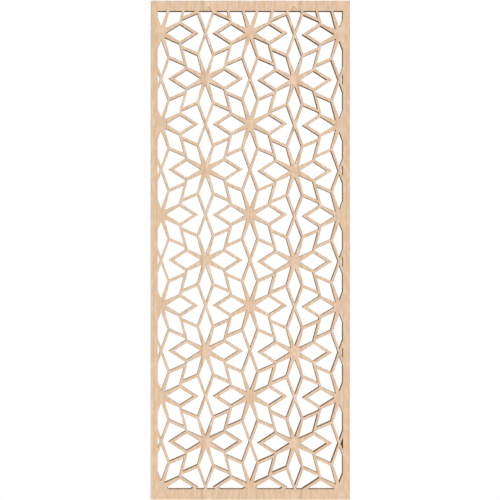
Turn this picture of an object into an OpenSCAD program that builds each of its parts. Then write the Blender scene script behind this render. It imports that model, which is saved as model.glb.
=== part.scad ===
// Fretwork wood panel: the frame and the star lattice are cut in one piece from veneered plywood.
// X runs across the panel, Z runs up it and Y runs through the board. The show face looks towards -Y.
// The origin is the middle of the bottom edge.

/* [Panel] */
// Width of the panel over both stiles
panel_w = 594; // [400:1:1200]
// Height of the panel over both rails
panel_h = 1487; // [600:1:2400]
// Width of the solid stile at each side
stile_w = 21.3; // [10:0.1:60]
// Height of the solid rail at the top and at the bottom
rail_h = 31; // [10:0.5:80]

/* [Plies] */
// Thickness of the decorative veneer on each face
veneer_t = 0.55; // [0.3:0.05:1.5]
// Thickness of each of the seven core plies
core_ply_t = 1.2; // [0.8:0.05:3]

/* [Lattice of stars] */
// Distance from one column of stars to the next
column_pitch = 132.9; // [128:0.1:160]
// Distance from a star to the next one in its column
star_pitch = 271; // [262:0.5:320]
// Depth of the middle column's first star below the top of the window
first_star_depth = 64.9; // [0:0.1:271]
// How much lower the columns right of the middle one hang
right_side_drop = 4.4; // [0:0.1:8]

/* [Points of a star] */
// Distance across from the star's centre to the knee of a side arm
side_knee_x = 56.4; // [50:0.1:60]
// Distance up from the star's centre to the knee of a side arm
side_knee_y = 30.1; // [25:0.1:35]
// Distance across from the star's centre to the knee of an upright arm
tall_knee_x = 23.1; // [20:0.1:26]
// Distance up from the star's centre to the knee of an upright arm
tall_knee_y = 72.3; // [68:0.1:76]
// Distance across from the star's centre to the tip of its side diamond
diamond_tip_x = 103.1; // [96:0.1:107]
// Distance along the shared bar from a petal's tip to the next star's knee
petal_tip_gap = 11.5; // [9:0.1:16]

/* [Bars] */
// Width of the bars that lean towards level
level_bar_w = 8.4; // [5:0.1:10]
// Width of the bars that lean towards upright
upright_bar_w = 7.2; // [5:0.1:9]
// Width of a side arm at the star's centre
side_arm_root_w = 16.4; // [10:0.1:20]
// Width of a side arm at its knee
side_arm_knee_w = 7.6; // [5:0.1:9]
// Width of an upright arm at the star's centre
tall_arm_root_w = 13.7; // [9:0.1:17]
// Width of an upright arm at its knee
tall_arm_knee_w = 6.5; // [5:0.1:8]

/* [Hidden] */

// Board: a veneer, seven core plies and a veneer, pressed face to face
core_plies = 7;
core_t = core_plies * core_ply_t;
board_t = core_t + 2 * veneer_t;
front_y = -board_t / 2;
veneer_colour = [0.89, 0.77, 0.65];
long_ply_colour = [0.86, 0.74, 0.58];
cross_ply_colour = [0.72, 0.58, 0.42];

// Window: the field between the stiles and the rails that the lattice fills
window_w = panel_w - 2 * stile_w;
window_h = panel_h - 2 * rail_h;
window_top = panel_h - rail_h;

// Stars stand in columns, and every other column hangs half a pitch lower
side_columns = ceil(window_w / 2 / column_pitch);
last_row = ceil((window_h - first_star_depth) / star_pitch);

// Points of a star, from its own centre: x across, y up
heart = [0, 0];
side_knee = [side_knee_x, side_knee_y];
tall_knee = [tall_knee_x, tall_knee_y];
diamond_tip = [diamond_tip_x, 0];
crossing = [0, star_pitch / 2];
next_star = [column_pitch, star_pitch / 2];
next_knee = next_star - side_knee;
shared_bar = (next_knee - side_knee) / norm(next_knee - side_knee);
petal_tip = next_knee - shared_bar * petal_tip_gap;

// Widths of a bar at the two ends of one side of an opening
level_bar = [level_bar_w, level_bar_w];
upright_bar = [upright_bar_w, upright_bar_w];
side_arm = [side_arm_root_w, side_arm_knee_w];
tall_arm = [tall_arm_root_w, tall_arm_knee_w];

function mirror_x(p) = [-p.x, p.y];
function mirror_y(p) = [p.x, -p.y];
function reversed(ends) = [ends[1], ends[0]];

// One side of an opening: the bar's axis moved inwards by half the bar's width at each end
function side(axes, bars, i) =
    let(
        a = axes[i],
        b = axes[(i + 1) % len(axes)],
        inwards = [a.y - b.y, b.x - a.x] / norm(b - a)
    )
    [a + inwards * bars[i][0] / 2, b + inwards * bars[i][1] / 2];

// The corner where two sides meet
function corner(s, t) =
    let(
        u = s[1] - s[0],
        v = t[1] - t[0],
        w = t[0] - s[0]
    )
    s[0] + u * (w.x * v.y - w.y * v.x) / (u.x * v.y - u.y * v.x);

// An opening among bars whose axes run round it anticlockwise
function opening(axes, bars) =
    let(n = len(axes))
    [for (i = [0 : n - 1]) corner(side(axes, bars, (i + n - 1) % n), side(axes, bars, i))];

// The four leaning petals of a star lie between a side arm and an upright arm
petal = opening(
    [heart, side_knee, petal_tip, tall_knee],
    [side_arm, upright_bar, level_bar, reversed(tall_arm)]);

// The two diamonds lie left and right of the star
diamond = opening(
    [heart, mirror_y(side_knee), diamond_tip, side_knee],
    [side_arm, level_bar, level_bar, reversed(side_arm)]);

// The two kites reach up and down to the crossings half way to the next star
kite = opening(
    [heart, tall_knee, crossing, mirror_x(tall_knee)],
    [tall_arm, upright_bar, upright_bar, reversed(tall_arm)]);

// The chevron fills the field between a diamond's tip and the next column, which may hang lower
function chevron(drop) =
    let(
        upper = next_star - [0, drop],
        lower = mirror_y(next_star) - [0, drop]
    )
    opening(
        [
            diamond_tip,
            mirror_y(side_knee),
            lower - mirror_y(petal_tip),
            lower - mirror_y(tall_knee),
            (upper + lower) / 2,
            upper - tall_knee,
            upper - petal_tip,
            side_knee
        ],
        [level_bar, upright_bar, level_bar, upright_bar, upright_bar, level_bar, upright_bar, level_bar]);

function column_drop(column) =
    (column % 2 == 0 ? 0 : star_pitch / 2) + (column > 0 ? right_side_drop : 0);

function star_place(column, row) =
    [column * column_pitch, window_top - first_star_depth - row * star_pitch - column_drop(column)];

// Extra drop at the middle, where the right side's columns meet the left side's
function seam_drop(column, way) = (column + way > 0 ? right_side_drop : 0) - (column > 0 ? right_side_drop : 0);

module star_openings(column) {
    for (way = [-1, 1]) {
        mirror([way < 0 ? 1 : 0, 0]) {
            polygon(diamond);
            polygon(chevron(seam_drop(column, way)));
            polygon(petal);
            mirror([0, 1]) polygon(petal);
        }
        mirror([0, way < 0 ? 1 : 0]) polygon(kite);
    }
}

module lattice_openings() {
    for (column = [-side_columns : side_columns]) {
        for (row = [-1 : last_row]) {
            translate(star_place(column, row)) star_openings(column);
        }
    }
}

module window() {
    translate([-window_w / 2, rail_h]) square([window_w, window_h]);
}

// Outline of the panel with every opening cut, the same in all plies
module fretwork() {
    difference() {
        translate([-panel_w / 2, 0]) square([panel_w, panel_h]);
        intersection() {
            window();
            lattice_openings();
        }
    }
}

// One ply of the board, from its front face at y backwards
module ply(y, thickness) {
    translate([0, y + thickness, 0]) rotate([90, 0, 0]) linear_extrude(thickness) fretwork();
}

// Core plies are counted from the front, and the odd ones have their grain across the panel
module core_ply(number) {
    color(number % 2 == 1 ? cross_ply_colour : long_ply_colour)
        ply(front_y + veneer_t + (number - 1) * core_ply_t, core_ply_t);
}

module face_veneer() {
    color(veneer_colour) ply(front_y, veneer_t);
}

module core_ply_1() {
    core_ply(1);
}

module core_ply_2() {
    core_ply(2);
}

module core_ply_3() {
    core_ply(3);
}

module core_ply_4() {
    core_ply(4);
}

module core_ply_5() {
    core_ply(5);
}

module core_ply_6() {
    core_ply(6);
}

module core_ply_7() {
    core_ply(7);
}

module back_veneer() {
    color(veneer_colour) ply(front_y + veneer_t + core_t, veneer_t);
}

face_veneer();
core_ply_1();
core_ply_2();
core_ply_3();
core_ply_4();
core_ply_5();
core_ply_6();
core_ply_7();
back_veneer();
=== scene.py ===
# %% [markdown]
# # A fretwork wood panel
#
# The real object is a tall room-divider panel. It is pressed from nine sheets of wood: a pale
# decorative veneer on each face and seven core plies between them. A star lattice is then cut
# through all of them at once, so the frame and the lattice are one board, with no joints in it.
#
# The solid model already has the nine plies at their true size. This lesson dresses them: it cuts
# each ply again with eased edges, gives every wood its own grain, and sets up a plain bright studio.
#
# The show face looks towards -Y, X runs across the panel and Z runs up it. All lengths are metres.

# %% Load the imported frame
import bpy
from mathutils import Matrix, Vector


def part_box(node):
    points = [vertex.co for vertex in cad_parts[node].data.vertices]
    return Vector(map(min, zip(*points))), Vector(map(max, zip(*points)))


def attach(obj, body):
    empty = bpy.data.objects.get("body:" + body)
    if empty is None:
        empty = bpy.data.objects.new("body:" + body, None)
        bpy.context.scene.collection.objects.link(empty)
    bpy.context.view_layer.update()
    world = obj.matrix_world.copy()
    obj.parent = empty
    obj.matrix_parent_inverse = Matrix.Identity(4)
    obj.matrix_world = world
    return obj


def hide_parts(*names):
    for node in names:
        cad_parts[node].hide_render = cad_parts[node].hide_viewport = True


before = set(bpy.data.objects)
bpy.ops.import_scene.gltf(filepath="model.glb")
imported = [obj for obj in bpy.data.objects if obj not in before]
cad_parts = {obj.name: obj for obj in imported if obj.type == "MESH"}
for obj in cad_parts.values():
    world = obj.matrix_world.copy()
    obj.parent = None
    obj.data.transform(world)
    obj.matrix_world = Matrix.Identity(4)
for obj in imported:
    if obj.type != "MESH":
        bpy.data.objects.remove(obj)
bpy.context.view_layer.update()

# %% Other modules that the lesson uses
import math

import bmesh
import bpy
from mathutils import Color, Vector

scene = bpy.context.scene

# %% [markdown]
# ## The board
#
# The outside sizes are read off the plies themselves, so they can never disagree with the solid
# model. A ply is flat, so its lowest and highest corners give its width, its height and where its
# two faces lie.

# %% Measure the board and its plies
face_low, face_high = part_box("face_veneer")
ply_low, ply_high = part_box("core_ply_1")
_, back_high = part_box("back_veneer")

panel_w = face_high.x - face_low.x
panel_h = face_high.z - face_low.z
board_front = face_low.y
board_back = back_high.y
core_front = ply_low.y
core_ply_t = ply_high.y - ply_low.y
core_plies = sum(name.startswith("core_ply_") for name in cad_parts)

print("Panel", round(panel_w, 4), "x", round(panel_h, 4), "m")
print("Board", round(board_back - board_front, 5), "m thick")
print(core_plies, "core plies of", round(core_ply_t, 5), "m")

# %% [markdown]
# ## The lattice
#
# The pattern is an eight-armed star that repeats in columns. Every other column hangs half a pitch
# lower, and the columns right of the middle hang a few millimetres lower still, as on the real one.
# These sizes are the ones the solid model was drawn with. Each column starts one star above the window
# and ends one below it, so that the window is always covered.

# %% Sizes of the lattice
mm = 0.001

stile_w = 21.3 * mm
rail_h = 31.0 * mm
column_pitch = 132.9 * mm
star_pitch = 271.0 * mm
first_star_depth = 64.9 * mm
right_side_drop = 4.4 * mm

window_w = panel_w - 2 * stile_w
window_h = panel_h - 2 * rail_h
window_top = panel_h - rail_h
side_columns = math.ceil(window_w / 2 / column_pitch)
rows_above = 1
rows_below = 1
star_rows = rows_above + math.ceil((window_h - first_star_depth) / star_pitch) + rows_below

print("Window", round(window_w, 4), "x", round(window_h, 4), "m")
print(2 * side_columns + 1, "columns of", star_rows, "stars cover it")

# %% [markdown]
# A star is drawn by the axes of its bars. An arm runs from the heart to a knee, where two thinner
# bars go on to the neighbours. Points are written as (across, up) from the star's own heart, and
# bars as their widths at the two ends, because the arms taper.

# %% Points of a star and widths of its bars
heart = Vector((0, 0))
side_knee = Vector((56.4, 30.1)) * mm
tall_knee = Vector((23.1, 72.3)) * mm
diamond_tip = Vector((103.1, 0)) * mm
petal_tip_gap = 11.5 * mm

crossing = Vector((0, star_pitch / 2))
next_star = Vector((column_pitch, star_pitch / 2))
next_knee = next_star - side_knee
petal_tip = next_knee - (next_knee - side_knee).normalized() * petal_tip_gap

level_bar = (8.4 * mm,) * 2
upright_bar = (7.2 * mm,) * 2
side_arm = (16.4 * mm, 7.6 * mm)
tall_arm = (13.7 * mm, 6.5 * mm)

# %% [markdown]
# What is cut away are the openings between the bars. One side of an opening is a bar's axis, moved
# inwards by half the bar's width, and a corner is where two such sides meet. The same rule gives
# every opening of the pattern.

# %% The rule for one opening
def mirror_x(point):
    return Vector((-point.x, point.y))


def mirror_y(point):
    return Vector((point.x, -point.y))


def opening_side(start, end, widths):
    along = (end - start).normalized()
    inwards = Vector((-along.y, along.x))
    return start + inwards * widths[0] / 2, end + inwards * widths[1] / 2


def meeting_point(first, second):
    run, other_run, apart = first[1] - first[0], second[1] - second[0], second[0] - first[0]
    return first[0] + run * apart.cross(other_run) / run.cross(other_run)


def opening(axes, bars):
    """The corners of the opening among bars whose axes run round it anticlockwise."""
    following = axes[1:] + axes[:1]
    sides = [opening_side(*side) for side in zip(axes, following, bars)]
    return [meeting_point(sides[i - 1], sides[i]) for i in range(len(sides))]


# %% The openings of one star
petal = opening(
    [heart, side_knee, petal_tip, tall_knee],
    [side_arm, upright_bar, level_bar, tall_arm[::-1]],
)
diamond = opening(
    [heart, mirror_y(side_knee), diamond_tip, side_knee],
    [side_arm, level_bar, level_bar, side_arm[::-1]],
)
kite = opening(
    [heart, tall_knee, crossing, mirror_x(tall_knee)],
    [tall_arm, upright_bar, upright_bar, tall_arm[::-1]],
)


def chevron(drop):
    """The field between a diamond's tip and the next column, which hangs lower by drop."""
    upper = next_star - Vector((0, drop))
    lower = mirror_y(next_star) - Vector((0, drop))
    return opening(
        [diamond_tip, mirror_y(side_knee), lower - mirror_y(petal_tip), lower - mirror_y(tall_knee),
         (upper + lower) / 2, upper - tall_knee, upper - petal_tip, side_knee],
        [level_bar, upright_bar, level_bar, upright_bar, upright_bar, level_bar, upright_bar, level_bar],
    )


def flipped(outline, mirror):
    """A mirrored outline, with its corners put back in anticlockwise order."""
    return [mirror(corner) for corner in reversed(outline)]


print("Longest side of a petal", round(max((a - b).length for a, b in zip(petal, petal[1:])), 4), "m")

# %% [markdown]
# ## Stencils
#
# A stencil is a flat mesh with one face for each opening of a star. It could be pasted down by hand
# for all the stars, but Geometry Nodes will repeat it. Each corner also stores which way it moves
# when the outline grows: the mitre of its two sides. The nodes use that to ease the cut edges.

# %% Draw a stencil
def mitre(before, corner, after):
    """How far a corner moves when both of its sides move out by one."""
    arriving = (corner - before).normalized()
    leaving = (after - corner).normalized()
    outwards = Vector((arriving.y, -arriving.x)), Vector((leaving.y, -leaving.x))
    return (outwards[0] + outwards[1]) / (1 + outwards[0].dot(outwards[1]))


def stencil(name, outlines):
    mesh = bmesh.new()
    spread = mesh.verts.layers.float_vector.new("spread")
    for outline in outlines:
        corners = []
        for i, corner in enumerate(outline):
            vertex = mesh.verts.new((corner.x, 0, corner.y))
            growth = mitre(outline[i - 1], corner, outline[(i + 1) % len(outline)])
            vertex[spread] = (growth.x, 0, growth.y)
            corners.append(vertex)
        mesh.faces.new(corners)
    flat = bpy.data.meshes.new(name)
    mesh.to_mesh(flat)
    mesh.free()
    helper = bpy.data.objects.new(name, flat)
    scene.collection.objects.link(helper)
    return helper


def star_stencil(name, right_drop=0, left_drop=0):
    outlines = [diamond, flipped(diamond, mirror_x), kite, flipped(kite, mirror_y)]
    for upper in (petal, flipped(petal, mirror_x)):
        outlines += [upper, flipped(upper, mirror_y)]
    outlines += [chevron(right_drop), flipped(chevron(left_drop), mirror_x)]
    return stencil(name, outlines)


def rectangle(name, left, bottom, right, top):
    return stencil(name, [[Vector(corner) for corner in
                           ((left, bottom), (right, bottom), (right, top), (left, top))]])


# %% Draw the five stencils
# At the seam, right of the middle column, the chevrons are stretched to meet the lower columns.
stencils = {
    "Star": star_stencil("stencil_star"),
    "Star Left of Seam": star_stencil("stencil_star_left_of_seam", right_drop=right_side_drop),
    "Star Right of Seam": star_stencil("stencil_star_right_of_seam", left_drop=-right_side_drop),
    "Window Outline": rectangle("stencil_window", -window_w / 2, rail_h, window_w / 2, window_top),
    "Board Outline": rectangle("stencil_board", -panel_w / 2, 0, panel_w / 2, panel_h),
}
for label, helper in stencils.items():
    print(label, "has", len(helper.data.polygons), "outlines")

# %% [markdown]
# ## Wiring nodes from a script
#
# Node trees are easier to read as sums. This small wrapper lets a socket be added, subtracted,
# multiplied and divided as a number would be, and each sign becomes one Math node. A tree's inputs
# get names, so that each size can be found again in the node editor.

# %% A socket that can be used in sums
class Number:
    def __init__(self, tree, socket):
        self.tree = tree
        self.socket = socket

    def math(self, operation, *others):
        inputs = dict(enumerate((self, *others)))
        return Number(self.tree, add(self.tree, "ShaderNodeMath", inputs, operation=operation).outputs[0])

    def __add__(self, other):
        return self.math('ADD', other)

    def __sub__(self, other):
        return self.math('SUBTRACT', other)

    def __mul__(self, other):
        return self.math('MULTIPLY', other)

    def __truediv__(self, other):
        return self.math('DIVIDE', other)

    def __neg__(self):
        return self.math('MULTIPLY', -1.0)


def add(tree, kind, inputs=(), **settings):
    """Add one node. Each input is a plain value, a socket or a Number."""
    made = tree.nodes.new(kind)
    for option, value in settings.items():
        setattr(made, option, value)
    for place, value in dict(inputs).items():
        if isinstance(value, Number):
            value = value.socket
        if isinstance(value, bpy.types.NodeSocket):
            tree.links.new(value, made.inputs[place])
        else:
            made.inputs[place].default_value = value
    return made


# %% Name a tree's inputs and outputs
def declare(tree, way, sockets):
    for label, (kind, value) in sockets.items():
        made = tree.interface.new_socket(name=label, in_out=way, socket_type="NodeSocket" + kind)
        if value is not None:
            made.default_value = value


def inputs_of(tree):
    """The tree's inputs by name, ready for sums."""
    group = add(tree, "NodeGroupInput")
    return {socket.name: Number(tree, socket) for socket in group.outputs if socket.name}


# %% [markdown]
# ## One tree that cuts any ply
#
# A ply could be extruded and cut by hand nine times. One Geometry Nodes tree does it for all of
# them, from named sizes, so every opening lines up through the whole board.
#
# First, a flat outline is pulled forward into a closed block. It may take several steps, and at each
# step its corners may spread. Three short steps round off an edge. Corners closer together than a
# thousandth of a millimetre are one corner, and are welded.

# %% Pull outlines into blocks
ease_steps = 3
weld_distance = 0.001 * mm


def eased_steps(radius, direction):
    """The last steps of a block, which round its front edge over a quarter circle."""
    turns = [math.radians(90) * i / ease_steps for i in range(ease_steps + 1)]
    return [
        (radius * (math.sin(after) - math.sin(before)),
         radius * direction * (math.cos(before) - math.cos(after)))
        for before, after in zip(turns, turns[1:])
    ]


def shifted(tree, geometry, offset, selection=True):
    inputs = {"Geometry": geometry, "Offset": offset, "Selection": selection}
    return add(tree, "GeometryNodeSetPosition", inputs).outputs["Geometry"]


def welded(tree, geometry):
    inputs = {"Geometry": geometry, "Distance": weld_distance}
    return add(tree, "GeometryNodeMergeByDistance", inputs).outputs[0]


def block(tree, outline, back, spread, steps):
    """Blocks from flat outlines: their back lies at back, spread grows them, then come the steps."""
    mitres = add(tree, "GeometryNodeInputNamedAttribute", {"Name": "spread"}, data_type='FLOAT_VECTOR')

    def growth(amount):
        scaled = {0: mitres.outputs["Attribute"], "Scale": amount}
        return add(tree, "ShaderNodeVectorMath", scaled, operation='SCALE').outputs[0]

    base = shifted(tree, outline, add(tree, "ShaderNodeCombineXYZ", {"Y": back}).outputs[0])
    base = shifted(tree, base, growth(spread))
    mesh, front = base, True
    for distance, widening in steps:
        inputs = {"Mesh": mesh, "Selection": front, "Offset": (0, -1, 0), "Offset Scale": distance,
                  "Individual": False}
        pulled = add(tree, "GeometryNodeExtrudeMesh", inputs, mode='FACES')
        front = pulled.outputs["Top"]
        mesh = shifted(tree, pulled.outputs["Mesh"], growth(widening), front)
    closed = add(tree, "GeometryNodeJoinGeometry")
    tree.links.new(mesh, closed.inputs[0])
    tree.links.new(add(tree, "GeometryNodeFlipFaces", {"Mesh": base}).outputs[0], closed.inputs[0])
    return welded(tree, closed.outputs[0])


# %% [markdown]
# Next, the stars are set out. Each point of a cloud is one star. Its place follows from its own
# number alone: whole columns first, then rows, with odd columns half a pitch lower.

# %% Set the stars out
def star_field(tree, size):
    index = Number(tree, add(tree, "GeometryNodeInputIndex").outputs[0])
    column = (index / size["Star Rows"]).math('FLOOR') - size["Columns Each Side"]
    row = index.math('MODULO', size["Star Rows"]) - rows_above
    half_lower = column.math('ABSOLUTE').math('MODULO', 2.0) * 0.5
    right_side = column.math('GREATER_THAN', 0.0)
    depth = (size["First Star Depth"] + (row + half_lower) * size["Star Pitch"]
             + right_side * size["Right Side Drop"])
    place = {"X": column * size["Column Pitch"], "Z": size["Window Top"] - depth}
    count = (size["Columns Each Side"] * 2.0 + 1.0) * size["Star Rows"]
    cloud = add(tree, "GeometryNodePoints", {"Count": count}).outputs[0]
    cloud = add(tree, "GeometryNodeSetPosition",
                {"Geometry": cloud, "Position": add(tree, "ShaderNodeCombineXYZ", place).outputs[0]})

    tolerance = 0.5
    left_of_seam = column.math('COMPARE', 0.0, tolerance)
    right_of_seam = column.math('COMPARE', 1.0, tolerance)
    elsewhere = -(left_of_seam + right_of_seam) + 1.0
    stars = add(tree, "GeometryNodeJoinGeometry")
    for label, selection in (("Star", elsewhere), ("Star Left of Seam", left_of_seam),
                             ("Star Right of Seam", right_of_seam)):
        drawn = add(tree, "GeometryNodeObjectInfo", {"Object": size[label]}).outputs["Geometry"]
        placed = {"Points": cloud.outputs[0], "Selection": selection, "Instance": drawn}
        tree.links.new(add(tree, "GeometryNodeInstanceOnPoints", placed).outputs[0], stars.inputs[0])
    return add(tree, "GeometryNodeRealizeInstances", {0: stars.outputs[0]}).outputs[0]


# %% [markdown]
# Then come the two shapes that meet in the cut: blocks in the shape of the openings, and a plain
# board. The cutters run past both faces of the ply, and their last rounding step runs on too, because
# a boolean with corners or faces in one plane is unsure which side they are on.

# %% Cutters and a plain board
overshoot = 2 * mm
run_on = 2.0


def outline(tree, size, label):
    return add(tree, "GeometryNodeObjectInfo", {"Object": size[label]}).outputs["Geometry"]


def cutters(tree, size, outlines, eased):
    """Blocks that reach through a ply. For eased edges they spread where they leave its front."""
    radius = size["Edge Radius"]
    back = size["Front"] + size["Thickness"] + overshoot
    to_front = size["Thickness"] + overshoot
    steps = [(to_front + overshoot, 0.0)]
    if eased:
        *rounding, (distance, widening) = eased_steps(radius, 1)
        steps = [(to_front - radius, 0.0), *rounding, (distance * run_on, widening * run_on),
                 (overshoot, 0.0)]
    return block(tree, outlines, back, size["Set Back"], steps)


def plain_board(tree, size, eased):
    radius = size["Edge Radius"]
    steps = [(size["Thickness"], 0.0)]
    if eased:
        steps = [(size["Thickness"] - radius, 0.0), *eased_steps(radius, -1)]
    back = size["Front"] + size["Thickness"]
    return block(tree, outline(tree, size, "Board Outline"), back, -size["Set Back"], steps)


# %% [markdown]
# The back veneer is the front one turned round. Its faces are flipped, so that they still point
# outwards after the mirroring.

# %% Turn a ply round
def turned_round(tree, wanted, ply):
    mirrored = add(tree, "GeometryNodeTransform", {"Geometry": ply, "Scale": (1, -1, 1)})
    turned = add(tree, "GeometryNodeFlipFaces", {"Mesh": mirrored.outputs[0]})
    inputs = {"Switch": wanted, "False": ply, "True": turned.outputs[0]}
    return add(tree, "GeometryNodeSwitch", inputs, input_type='GEOMETRY').outputs[0]


# %% [markdown]
# Last, the cut. The star blocks are trimmed to the window, just as the cutting path of the real panel
# stops at the frame, and are then taken out of the board.

# %% The tree for a ply
lattice_sizes = {
    "Columns Each Side": ("Int", side_columns),
    "Star Rows": ("Int", star_rows),
    "Column Pitch": ("Float", column_pitch),
    "Star Pitch": ("Float", star_pitch),
    "First Star Depth": ("Float", first_star_depth),
    "Right Side Drop": ("Float", right_side_drop),
    "Window Top": ("Float", window_top),
}
ply_sizes = {
    "Front": ("Float", 0.0),
    "Thickness": ("Float", 0.0),
    "Set Back": ("Float", 0.0),
    "Edge Radius": ("Float", 0.0),
    "Turned Round": ("Bool", False),
    "Finish": ("Material", None),
}


def ply_tree(name, eased):
    tree = bpy.data.node_groups.new(name, "GeometryNodeTree")
    declare(tree, 'INPUT', lattice_sizes)
    declare(tree, 'INPUT', {label: ("Object", None) for label in stencils})
    declare(tree, 'INPUT', ply_sizes)
    declare(tree, 'OUTPUT', {"Geometry": ("Geometry", None)})
    size = inputs_of(tree)

    trimmed = add(tree, "GeometryNodeMeshBoolean", operation='INTERSECT', solver='MANIFOLD')
    for outlines in (star_field(tree, size), outline(tree, size, "Window Outline")):
        tree.links.new(cutters(tree, size, outlines, eased), trimmed.inputs["Mesh 2"])
    cut = add(tree, "GeometryNodeMeshBoolean", operation='DIFFERENCE', solver='MANIFOLD')
    tree.links.new(plain_board(tree, size, eased), cut.inputs["Mesh 1"])
    tree.links.new(trimmed.outputs[0], cut.inputs["Mesh 2"])

    ply = turned_round(tree, size["Turned Round"], welded(tree, cut.outputs[0]))
    ply = add(tree, "GeometryNodeRemoveAttribute", {"Geometry": ply, "Name": "spread"})
    real = add(tree, "GeometryNodeRealizeInstances", {0: ply.outputs[0]})
    finished = {"Geometry": real.outputs[0], "Material": size["Finish"]}
    add(tree, "NodeGroupOutput", {0: add(tree, "GeometryNodeSetMaterial", finished).outputs[0]})
    return tree


veneer_tree = ply_tree("Cut a veneer with eased edges", eased=True)
core_tree = ply_tree("Cut a core ply", eased=False)
print("Veneer tree has", len(veneer_tree.nodes), "nodes, core tree", len(core_tree.nodes))

# %% [markdown]
# ## The woods
#
# A photograph of wood could be laid on the panel, but it would blur close up and end at its border.
# Every finish below is worked out instead, in the object's own coordinates and in metres, so the
# grain keeps its real size and runs straight on across bars, stars and frame, as in one sheet of wood.
#
# Colours are noted as they look on a screen, in levels from 0 to 255, and turned into the linear
# values that a shader works with.

# %% Write down a colour
brightest_level = 255


def shade(red, green, blue):
    """The colour that a screen shows at these levels, with no see-through in it."""
    on_screen = Color((red, green, blue)) / brightest_level
    return (*on_screen.from_srgb_to_scene_linear(), 1.0)


# %% [markdown]
# A finish is built up as a maker would stain wood: one colour is laid over another through a mask,
# which is 0 where nothing shows and 1 where the colour covers. Masks are made from noise, and from
# where the surface lies. The Mix node has sockets for numbers, directions and colours under the same
# names, so its colours are picked by their number in the list.

# %% Masks and mixes
first_colour = 6
second_colour = 7
mixed_colour = 2


def step(value, low, high):
    """A mask that rises smoothly from 0 at low to 1 at high."""
    inputs = {"Value": value, "From Min": low, "From Max": high}
    made = add(value.tree, "ShaderNodeMapRange", inputs, interpolation_type='SMOOTHSTEP')
    return Number(value.tree, made.outputs[0])


def fade(value, low, high):
    """A mask that falls smoothly from 1 at low to 0 at high."""
    return -step(value, low, high) + 1.0


def between(value, low, high):
    """Turn a mask that runs from 0 to 1 into one that runs from low to high."""
    return value * (high - low) + low


def tint(tree, under, over, amount):
    """Lay one colour over another, by amount."""
    inputs = {"Factor": amount, first_colour: under, second_colour: over}
    return add(tree, "ShaderNodeMix", inputs, data_type='RGBA').outputs[mixed_colour]


def noise(tree, x, y, z, detail=2.0, roughness=0.5):
    """Smooth noise from 0 to 1, one lump for each unit of x, y and z."""
    place = add(tree, "ShaderNodeCombineXYZ", {0: x, 1: y, 2: z}).outputs[0]
    inputs = {"Vector": place, "Scale": 1.0, "Detail": detail, "Roughness": roughness}
    return Number(tree, add(tree, "ShaderNodeTexNoise", inputs).outputs[0])


def split(tree, vector):
    """The three parts of a vector."""
    parts = add(tree, "ShaderNodeSeparateXYZ", {0: vector})
    return [Number(tree, part) for part in parts.outputs]


def dot(tree, first, second):
    """How far the first reaches along the second: 1 if two directions agree, 0 if they cross."""
    product = add(tree, "ShaderNodeVectorMath", {0: first, 1: second}, operation='DOT_PRODUCT')
    return Number(tree, product.outputs["Value"])


def effect(name, inputs, outputs):
    """An empty shader node group with its inputs, and the node that its outputs go to."""
    tree = bpy.data.node_groups.new(name, "ShaderNodeTree")
    declare(tree, 'INPUT', inputs)
    declare(tree, 'OUTPUT', {label: ("Float", None) for label in outputs})
    return tree, inputs_of(tree), add(tree, "NodeGroupOutput")


def put_out(tree, out, values):
    """Wire the values to the outputs of a group."""
    for label, value in values.items():
        tree.links.new(value.socket, out.inputs[label])
    print(tree.name, "is a sum of", len(tree.nodes), "nodes")


# %% [markdown]
# ### Figure of a sliced veneer
#
# A veneer leaf is sliced off a log beside its heart. Near the middle of the leaf the knife runs
# almost level with the growth rings, and the taper of the log draws them as tall upright flames.
# Towards its sides the rings stand steep, and show as straight fine lines. Both come out of one
# sum: the distance from the heart, and a little for the height.
#
# Leaves are jointed side by side and every second one is opened like a page, so the figure is
# mirrored at each joint. One joint runs up close beside the panel's middle. On the real panel a pale
# band runs up each leaf along the heart, with a darker line on the side away from the joint.

# %% A group for the veneer's figure
figure, given, out = effect(
    "Sliced veneer figure",
    {
        "Position": ("Vector", None),
        "Joint Place": ("Float", 0.0033),
        "Leaf Width": ("Float", 0.268),
        "Heart Place": ("Float", 0.127),
        "Heart Width": ("Float", 0.022),
        "Heart Depth": ("Float", 0.042),
        "Ring Width": ("Float", 0.005),
        "Years to a Ring": ("Float", 4.0),
        "Taper": ("Float", 0.08),
        "First Ring": ("Float", 0.85),
        "Wander": ("Float", 0.006),
        "Log": ("Float", 0.0),
    },
    ["Rings", "Heart", "Dark Line", "Streaks", "Bands", "Hue", "Mottle", "Fibres", "Pores", "Relief"],
)
x, _, z = split(figure, given["Position"])
from_joint = x - given["Joint Place"]
leaf = (from_joint / given["Leaf Width"]).math('FLOOR')
across = from_joint.math('PINGPONG', given["Leaf Width"])

# %% [markdown]
# All the noise of the figure is stretched along the grain. Kinds that might run together are read
# from sheets of their own, and each leaf lies a little deeper in the log than the one before, so
# neighbouring leaves are alike but not the same.

# %% Noise along the grain
leaf_depth = 0.02
layer = leaf * leaf_depth + given["Log"]


def grain_noise(across_scale, upright_scale, sheet=0.0, detail=2.0, roughness=0.5):
    """Noise with so many lumps to a metre across the leaf, and so many up it."""
    return noise(figure, across * across_scale, layer + sheet, z * upright_scale, detail, roughness)


# %% [markdown]
# The heart leans and the rings wander, as no tree grows straight. In each ring the wood darkens
# slowly towards its late wood, then goes back sharply to pale early wood, and some years are darker
# than others. Broad rings with narrower ones inside them give the flames their depth.

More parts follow.
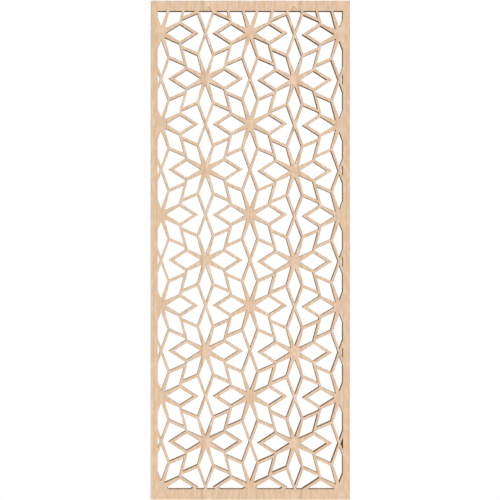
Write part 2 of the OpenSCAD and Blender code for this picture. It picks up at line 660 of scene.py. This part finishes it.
# %% Growth rings
lean_scale = 1.3
lean_most = 0.03
sideways = grain_noise(across_scale=9.0, upright_scale=1.6, detail=3.0)
wander = between(sideways, low=-1.0, high=1.0) * given["Wander"]
lean = (noise(figure, layer, 0.0, z * lean_scale, detail=0.0) - 0.5) * lean_most
from_heart = across - given["Heart Place"] - lean
bow = (from_heart * from_heart + given["Heart Depth"] * given["Heart Depth"]).math('SQRT')
ring = (bow + given["Taper"] * z + wander) / given["Ring Width"] + given["First Ring"]

year_scale = 0.71
palest_year = 0.25
coarse_share = 0.65


def late_wood(ring):
    """Darkens slowly through each ring and ends sharply, more in some rings than in others."""
    season = ring.math('FRACT')
    year = noise(figure, ring.math('FLOOR') * year_scale, layer, 0.0, detail=0.0)
    strength = between(step(year, low=0.3, high=0.7), low=palest_year, high=1.0)
    return step(season, low=0.25, high=0.9) * fade(season, low=0.93, high=1.0) * strength


years = ring * given["Years to a Ring"]
rings = late_wood(ring) * coarse_share + late_wood(years) * (1.0 - coarse_share)

# %% [markdown]
# The pale band and the dark line keep their distance from the heart, in shares of half the band's
# width, and lean with it.

# %% The band along the heart and the line beside it
half_band = given["Heart Width"] * 0.5
band_full = 0.7
band_gone = 1.3
line_place = 1.8
line_width = 0.6
heart_band = fade(from_heart.math('ABSOLUTE'), low=half_band * band_full, high=half_band * band_gone)
from_line = (from_heart - half_band * line_place).math('ABSOLUTE')
dark_line = fade(from_line, low=0.0, high=half_band * line_width)

# %% [markdown]
# Between the rings the wood changes from streak to streak, in depth and from orange to a greyish
# pink. Soft mottle lies across the streaks, and close up there are fibres and short open pores. The
# relief stands for what a finger would feel: hard late wood stands up a little and pores are hollow.

# %% Streaks, fibres and pores
bands = grain_noise(across_scale=90.0, upright_scale=0.3, sheet=3.0, detail=3.0)
streaks = grain_noise(across_scale=320.0, upright_scale=0.4, detail=4.0, roughness=0.6)
hue = grain_noise(across_scale=150.0, upright_scale=3.0, sheet=11.0, detail=4.0, roughness=0.6)
mottle = grain_noise(across_scale=110.0, upright_scale=36.0, sheet=17.0)
fibres = grain_noise(across_scale=1400.0, upright_scale=22.0, detail=3.0, roughness=0.7)
pits = grain_noise(across_scale=1900.0, upright_scale=170.0, sheet=7.0, detail=1.0)
pores = step(pits, low=0.6, high=0.72)

fibre_height = 0.5
ring_height = 0.2
pore_depth = 0.6
relief = fibres * fibre_height + rings * ring_height - pores * pore_depth

put_out(figure, out, {
    "Rings": rings, "Heart": heart_band, "Dark Line": dark_line, "Streaks": streaks, "Bands": bands,
    "Hue": hue, "Mottle": mottle, "Fibres": fibres, "Pores": pores, "Relief": relief,
})

# %% [markdown]
# ### Cut walls
#
# A cut wall shows other wood than the face, and the heat of the cut has toasted it. The walls could
# be picked by hand and given a material of their own. This group needs no picking: it finds walls,
# eased edges and end grain from the direction that the surface faces. The toasting has fine stripes
# that run straight through the board, the way the cutter went, and darker patches.

# %% A group for cut walls
upright = (0, 0, 1)
level = (1, 0, 0)

cut_wall, given, out = effect(
    "Cut wall",
    {"Position": ("Vector", None), "Normal": ("Vector", None), "Grain": ("Vector", upright)},
    ["Eased Edge", "End Grain", "Toast"],
)
x, y, z = split(cut_wall, given["Position"])
facing = split(cut_wall, given["Normal"])[1].math('ABSOLUTE')
wall = fade(facing, low=0.1, high=0.7)
eased_edge = step(facing, low=0.05, high=0.3) * fade(facing, low=0.92, high=0.995)
along_grain = dot(cut_wall, given["Normal"], given["Grain"]).math('ABSOLUTE')
end_grain = step(along_grain, low=0.1, high=0.8)

stripe_scale = 1400.0
stripe_run_scale = 30.0
patch_scale = 25.0
stripe_share = 0.6
least_toast = 0.35
stripes = noise(cut_wall, x * stripe_scale, y * stripe_run_scale, z * stripe_scale)
patches = noise(cut_wall, x * patch_scale, 0.0, z * patch_scale, detail=1.0)
burn = stripes * stripe_share + patches * (1.0 - stripe_share)
toast = wall * between(burn, low=least_toast, high=1.0)

put_out(cut_wall, out, {"Eased Edge": eased_edge, "End Grain": end_grain, "Toast": toast})

# %% [markdown]
# ### Core plies
#
# The core is peeled off a log in one long ribbon. Along the grain a ply shows long soft streaks, and
# across it the open ends of the pores. A thin dark line of glue parts one ply from the next. The grain
# is an input, so that one group serves the plies that are laid upright and those laid across.

# %% A group for peeled core wood
core_wood, given, out = effect(
    "Peeled core wood",
    {
        "Position": ("Vector", None),
        "Grain": ("Vector", upright),
        "Core Front": ("Float", 0.0),
        "Ply Thickness": ("Float", 0.0012),
        "Glue Line": ("Float", 0.00006),
    },
    ["Streaks", "Pores", "Glue", "Relief"],
)
run = dot(core_wood, given["Position"], given["Grain"])
along = add(core_wood, "ShaderNodeVectorMath", {0: given["Grain"], "Scale": run}, operation='SCALE')
aside = add(core_wood, "ShaderNodeVectorMath", {0: given["Position"], 1: along.outputs[0]},
            operation='SUBTRACT')
x, y, z = split(core_wood, aside.outputs[0])


def ply_noise(across_scale, through_scale, run_scale, detail):
    """Noise with so many lumps to a metre across the grain, through the ply and along the grain."""
    return noise(core_wood, (x + z) * across_scale, y * through_scale, run * run_scale, detail)


streaks = ply_noise(across_scale=420.0, through_scale=900.0, run_scale=14.0, detail=3.0)
pits = ply_noise(across_scale=2600.0, through_scale=2600.0, run_scale=60.0, detail=1.0)
pores = step(pits, low=0.58, high=0.74)
streak_height = 0.4
pore_depth = 0.5
relief = streaks * streak_height - pores * pore_depth

# %% [markdown]
# A glue line lies wherever one ply ends and the next begins. The distance to the nearest one grows
# and shrinks again from ply to ply, which is what the ping-pong operation gives.

# %% Glue lines
depth = split(core_wood, given["Position"])[1] - given["Core Front"]
to_glue = depth.math('PINGPONG', given["Ply Thickness"] * 0.5)
glue_full = 0.5
glue_gone = 1.5
glue = fade(to_glue, low=given["Glue Line"] * glue_full, high=given["Glue Line"] * glue_gone)

put_out(core_wood, out, {"Streaks": streaks, "Pores": pores, "Glue": glue, "Relief": relief})

# %% [markdown]
# ### Laying on a finish
#
# Every finish here is one Principled shader. Its colour is a stack of coats, each laid over the ones
# before it through a mask and at its own strength. A shallow bump lets the grain catch the light.

# %% Begin a finish, and lay its coats
def use(tree, group, **values):
    """Place a shared effect in a material and read its outputs as Numbers."""
    inputs = {label.replace("_", " "): value for label, value in values.items()}
    placed = add(tree, "ShaderNodeGroup", inputs, node_tree=group)
    return {socket.name.replace(" ", "_"): Number(tree, socket) for socket in placed.outputs}


def new_finish(name, specular):
    finish = bpy.data.materials.new(name)
    finish.use_nodes = True
    tree = finish.node_tree
    shader = tree.nodes["Principled BSDF"]
    shader.inputs["Specular IOR Level"].default_value = specular
    coordinates = add(tree, "ShaderNodeTexCoord")
    return finish, tree, shader, coordinates.outputs["Object"], coordinates.outputs["Normal"]


def lay(tree, shader, colour, coats):
    """Each coat is a colour, the mask that it is laid through, and how strongly it covers there."""
    for coat, mask, strength in coats:
        colour = tint(tree, colour, coat, mask * strength)
    tree.links.new(colour, shader.inputs["Base Color"])


def roughen(tree, shader, relief, depth, roughness):
    bump = add(tree, "ShaderNodeBump", {"Height": relief, "Distance": depth})
    tree.links.new(bump.outputs[0], shader.inputs["Normal"])
    tree.links.new(roughness.socket, shader.inputs["Roughness"])


# %% [markdown]
# ### The veneers
#
# Pale wood between yellow and pink, sanded smooth and left bare. Late wood, streaks and fibres each
# lay a darker tone over it, and the heart and the mottle a paler one, all of them faint. The heat of
# the cut has browned the eased edges. The veneer on the back comes from another log, so its figure
# differs from the front's.

# %% Finish the veneers
yellow_wood = shade(244, 207, 164)
pink_wood = shade(223, 202, 183)
pore_brown = shade(178, 136, 100)
toasted_veneer = shade(168, 130, 94)
sanded_gloss = 0.25
fibre_depth = 0.08 * mm


def veneer_finish(name, log, early, late, edge):
    finish, tree, shader, place, normal = new_finish(name, sanded_gloss)
    grain = use(tree, figure, Position=place, Log=log)
    cut = use(tree, cut_wall, Position=place, Normal=normal)
    ring_strength = between(grain["Heart"], low=0.3, high=1.3)
    lay(tree, shader, yellow_wood, [
        (pink_wood, step(grain["Hue"], low=0.32, high=0.68), 1.0),
        (late, step(grain["Bands"], low=0.3, high=0.75), 0.35),
        (late, step(grain["Streaks"], low=0.4, high=0.75), 0.8),
        (early, grain["Heart"], 0.4),
        (late, grain["Rings"], ring_strength),
        (late, grain["Dark_Line"], 0.6),
        (early, step(grain["Mottle"], low=0.4, high=0.7), 0.4),
        (early, step(grain["Fibres"], low=0.45, high=0.7), 0.3),
        (late, fade(grain["Fibres"], low=0.3, high=0.5), 0.25),
        (pore_brown, grain["Pores"], 0.4),
        (edge, cut["Eased_Edge"], 0.8),
        (toasted_veneer, cut["Toast"], 1.0),
    ])
    roughen(tree, shader, grain["Relief"], fibre_depth, between(grain["Fibres"], low=0.55, high=0.75))
    print(name, "has", len(tree.nodes), "nodes")
    return finish


face_finish = veneer_finish("Pale face veneer", log=0.0, early=shade(246, 223, 200),
                            late=shade(199, 160, 122), edge=shade(186, 146, 108))
back_finish = veneer_finish("Pale back veneer", log=5.3, early=shade(243, 220, 197),
                            late=shade(196, 158, 121), edge=shade(183, 143, 106))

# %% [markdown]
# ### The core plies
#
# Only the cut walls of these are ever seen. Where the grain runs along a wall the wood shows long
# streaks. Where it runs into the wall it shows end grain, which is darker and full of open pores. The
# cut has toasted the wood and burnt the glue.

# %% Finish the core plies
streak_brown = shade(170, 134, 96)
open_pore_brown = shade(120, 88, 60)
toasted_core = shade(150, 112, 76)
burnt_glue = shade(96, 66, 42)
raw_gloss = 0.2
streak_depth = 0.1 * mm


def core_finish(name, grain_way, side, end):
    finish, tree, shader, place, normal = new_finish(name, raw_gloss)
    wood = use(tree, core_wood, Position=place, Grain=grain_way, Core_Front=core_front,
               Ply_Thickness=core_ply_t)
    cut = use(tree, cut_wall, Position=place, Normal=normal, Grain=grain_way)
    lay(tree, shader, side, [
        (end, cut["End_Grain"], 1.0),
        (streak_brown, step(wood["Streaks"], low=0.35, high=0.75), 0.6),
        (open_pore_brown, wood["Pores"] * cut["End_Grain"], 0.7),
        (toasted_core, cut["Toast"], 0.5),
        (burnt_glue, wood["Glue"], 0.8),
    ])
    roughen(tree, shader, wood["Relief"], streak_depth, between(wood["Streaks"], low=0.6, high=0.85))
    print(name, "has", len(tree.nodes), "nodes")
    return finish


long_finish = core_finish("Long-grained core ply", upright, side=shade(188, 153, 113),
                          end=shade(152, 114, 79))
cross_finish = core_finish("Cross-grained core ply", level, side=shade(180, 143, 104),
                           end=shade(144, 106, 73))

# %% [markdown]
# ## Press and cut the plies
#
# Each ply is an empty object with the tree on it. Its inputs are set by the sockets' identifiers,
# then the result is copied out as a plain mesh and the modifier goes. Cross-grained plies lose a
# hair more wood at the cut than long-grained ones, so they are set back by a few hundredths of a
# millimetre, and the cut wall shows its layers to a finger as well as to the eye.

# %% Cut one ply
veneer_edge_radius = 0.35 * mm
long_set_back = 0.02 * mm
cross_set_back = 0.06 * mm


def cut_ply(name, tree, **sizes):
    low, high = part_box(name)
    turned = sizes.get("Turned_Round", False)
    ply = bpy.data.objects.new(name + "_wood", bpy.data.meshes.new(name + "_wood"))
    scene.collection.objects.link(ply)
    modifier = ply.modifiers.new("Fretwork", 'NODES')
    modifier.node_group = tree
    sockets = {item.name: item.identifier for item in tree.interface.items_tree
               if item.item_type == 'SOCKET' and item.in_out == 'INPUT'}
    values = {**stencils, "Front": -high.y if turned else low.y, "Thickness": high.y - low.y,
              **{label.replace("_", " "): value for label, value in sizes.items()}}
    for label, value in values.items():
        modifier[sockets[label]] = value
    depsgraph = bpy.context.evaluated_depsgraph_get()
    cut = bpy.data.meshes.new_from_object(ply.evaluated_get(depsgraph), depsgraph=depsgraph)
    ply.modifiers.remove(modifier)
    uncut, ply.data = ply.data, cut
    bpy.data.meshes.remove(uncut)
    cut.name = ply.name
    return ply


# %% [markdown]
# The two veneers have grain of their own and eased edges. Core plies are counted from the front, and
# the odd ones have their grain across the panel.

# %% Cut all nine
plies = {
    "face_veneer": cut_ply("face_veneer", veneer_tree, Edge_Radius=veneer_edge_radius,
                           Finish=face_finish),
    "back_veneer": cut_ply("back_veneer", veneer_tree, Edge_Radius=veneer_edge_radius,
                           Finish=back_finish, Turned_Round=True),
}
for number in range(1, core_plies + 1):
    name = f"core_ply_{number}"
    crossed = number % 2 == 1
    plies[name] = cut_ply(name, core_tree, Set_Back=cross_set_back if crossed else long_set_back,
                          Finish=cross_finish if crossed else long_finish)

# %% [markdown]
# The volume of wood left in each ply tells whether the cut went right. It should be a hair less than
# in the solid model, by what the eased edges and the set-backs take away, and no edge may be open.

# %% Measure what was cut
cubic_centimetre = 0.01 ** 3


def wood_volume(mesh):
    body = bmesh.new()
    body.from_mesh(mesh)
    bmesh.ops.remove_doubles(body, verts=body.verts, dist=weld_distance)
    open_edges = sum(not edge.is_manifold for edge in body.edges)
    volume = body.calc_volume(signed=True)
    body.free()
    return volume, open_edges


for name, ply in plies.items():
    drawn, loose = wood_volume(ply.data)
    solid, _ = wood_volume(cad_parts[name].data)
    print(f"{name}: {len(ply.data.polygons)} faces, {loose} open edges, "
          f"{drawn / cubic_centimetre:.1f} cm3 of wood against {solid / cubic_centimetre:.1f} cm3")

# %% [markdown]
# Each ply takes the place of the solid model's node of the same name. All nine are glued into one
# board, so they ride on the same body. Plies of one wood share a finish, so that it can be changed
# in one go. The stencils have done their work and are thrown away.

# %% Hand the plies to the frame
for name, ply in plies.items():
    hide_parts(name)
    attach(ply, "root")

for helper in stencils.values():
    bpy.data.objects.remove(helper)

# %% [markdown]
# ## The studio
#
# The panel was photographed against pure white, in light so even that the cut walls are equally dark
# whichever way they face. A bright sky all round gives a third of the light. The rest comes from two
# soft lamps in front, one on each side, and a third does their work for the back. Sun lamps are used
# because their light is the same all over a tall panel, and a wide angle makes their shadows soft.
# They stand low, but high enough that the floor hides no part of them from the panel's foot.
#
# The shares of light that fall on the face add up to one, so a colour renders about as written.

# %% Hang the lights
sky_share = 0.34


def softbox(name, azimuth, elevation, spread, share):
    """A soft light. Azimuth 0 shines along +Y and 90 along -X. Share is its part on a wall facing it."""
    lamp = bpy.data.objects.new(name, bpy.data.lights.new(name, 'SUN'))
    turn = math.radians(azimuth)
    lift = math.radians(elevation)
    shining = Vector((-math.sin(turn) * math.cos(lift), math.cos(turn) * math.cos(lift), -math.sin(lift)))
    lamp.rotation_euler = shining.to_track_quat('-Z', 'Y').to_euler()
    lamp.data.angle = math.radians(spread)
    lamp.data.energy = share * math.pi / abs(shining.y)
    scene.collection.objects.link(lamp)
    print(name, "has strength", round(lamp.data.energy, 2))


softbox("Key light", azimuth=30, elevation=9, spread=16, share=0.35)
softbox("Fill light", azimuth=-20, elevation=8, spread=14, share=0.31)
softbox("Back light", azimuth=168, elevation=8, spread=14, share=0.62)

# %% [markdown]
# ### White surroundings
#
# White behind the panel comes from Light Path: rays from the camera, and those seen in a gloss, find
# plain white, while all other rays find the dim sky that fills the shadows.

# %% Paint the sky
def seen(tree):
    """1 for rays that carry a picture of the surroundings, 0 for rays that carry light."""
    path = add(tree, "ShaderNodeLightPath").outputs
    camera, glossy, through = (Number(tree, path[label]) for label in
                               ("Is Camera Ray", "Is Glossy Ray", "Is Transmission Ray"))
    return camera.math('MAXIMUM', glossy).math('MAXIMUM', through).socket


white = (1.0, 1.0, 1.0, 1.0)
world = bpy.data.worlds.new("White studio")
world.use_nodes = True
scene.world = world
sky = world.node_tree
sky.nodes.clear()
dim = add(sky, "ShaderNodeBackground", {"Color": white, "Strength": sky_share})
bright = add(sky, "ShaderNodeBackground", {"Color": white, "Strength": 1.0})
chosen = add(sky, "ShaderNodeMixShader", {0: seen(sky), 1: dim.outputs[0], 2: bright.outputs[0]})
add(sky, "ShaderNodeOutputWorld", {0: chosen.outputs[0]})
print("The sky gives", sky_share, "of the light on the face")

# %% [markdown]
# The floor is pale and matt, and keeps the panel's shadow near its foot. Further out, and behind the
# panel where the openings would show it, it melts into the white. It looks white to the camera, so
# that the shadow stands out on it, but to the light it is a pale grey. It then sends up no more light
# than the sky that it covers, and the panel's foot is lit like its top.

# %% Lay the floor
floor_radius = 2.5
floor_sides = 96
floor_gap = 0.1 * mm

mesh = bmesh.new()
bmesh.ops.create_circle(mesh, cap_ends=True, segments=floor_sides, radius=floor_radius)
bmesh.ops.translate(mesh, verts=mesh.verts, vec=(0, 0, -floor_gap))
disc = bpy.data.meshes.new("Floor")
mesh.to_mesh(disc)
mesh.free()
floor = bpy.data.objects.new("Floor", disc)
scene.collection.objects.link(floor)
print("The floor is", 2 * floor_radius, "m across")

# %% Where the floor shows and where it melts away
paint = bpy.data.materials.new("Pale floor")
paint.use_nodes = True
tree = paint.node_tree
tree.nodes.clear()
x, y, _ = split(tree, add(tree, "ShaderNodeTexCoord").outputs["Object"])
distance = (x * x + y * y).math('SQRT')

in_front = fade(y, low=-0.06, high=-0.01)
under_panel = fade(y, low=0.04, high=0.07) * fade(x.math('ABSOLUTE'), low=0.24, high=0.28)
near = fade(distance, low=0.5, high=1.5) * in_front.math('MAXIMUM', under_panel)

# %% Paint the floor
floor_albedo = 0.64
floor_glow = 0.46

matt = add(tree, "ShaderNodeBsdfDiffuse", {"Color": (floor_albedo, floor_albedo, floor_albedo, 1.0)})
shaded = add(tree, "ShaderNodeBsdfDiffuse", {"Color": white})
glow = add(tree, "ShaderNodeEmission", {"Color": white, "Strength": floor_glow})
lifted = add(tree, "ShaderNodeAddShader", {0: shaded.outputs[0], 1: glow.outputs[0]})
plain = add(tree, "ShaderNodeEmission", {"Color": white, "Strength": 1.0})
faded = add(tree, "ShaderNodeMixShader", {0: near.socket, 1: plain.outputs[0], 2: lifted.outputs[0]})
laid = add(tree, "ShaderNodeMixShader", {0: seen(tree), 1: matt.outputs[0], 2: faded.outputs[0]})
add(tree, "ShaderNodeOutputMaterial", {0: laid.outputs[0]})
disc.materials.append(paint)

# %% [markdown]
# ### The camera
#
# The picture is square and 500 pixels high, and the panel fills its height almost exactly. Walls
# that face left show all over the panel and walls that face right nowhere, so the camera stood
# level with the left stile, a little above the middle, and its lens was shifted to bring the panel
# into the middle of the picture. The walls show wider towards the right, and how fast they do so
# gives the distance. The lens then follows from the height of the view at the face.

# %% Set the camera
picture_height = 500
pixel = 2.979 * mm
view_height = picture_height * pixel
camera_distance = 1.73
sensor = 36.0
stand_left = 310 * mm
stand_up = 30 * mm
aim_left = 0.9 * mm
aim_up = 0.3 * mm

camera = bpy.data.objects.new("Camera", bpy.data.cameras.new("Camera"))
camera.data.sensor_width = sensor
camera.data.lens = sensor * camera_distance / view_height
camera.data.shift_x = (stand_left - aim_left) / view_height
camera.data.shift_y = (aim_up - stand_up) / view_height
camera.location = (-stand_left, board_front - camera_distance, panel_h / 2 + stand_up)
camera.rotation_euler = (math.radians(90), 0, 0)
scene.collection.objects.link(camera)
scene.camera = camera
print("Lens", round(camera.data.lens, 2), "mm")

# %% [markdown]
# Blender would give the picture the soft look of film by default. Here the colours are shown plainly,
# so that white stays white.

# %% Picture settings
scene.view_settings.view_transform = 'Standard'
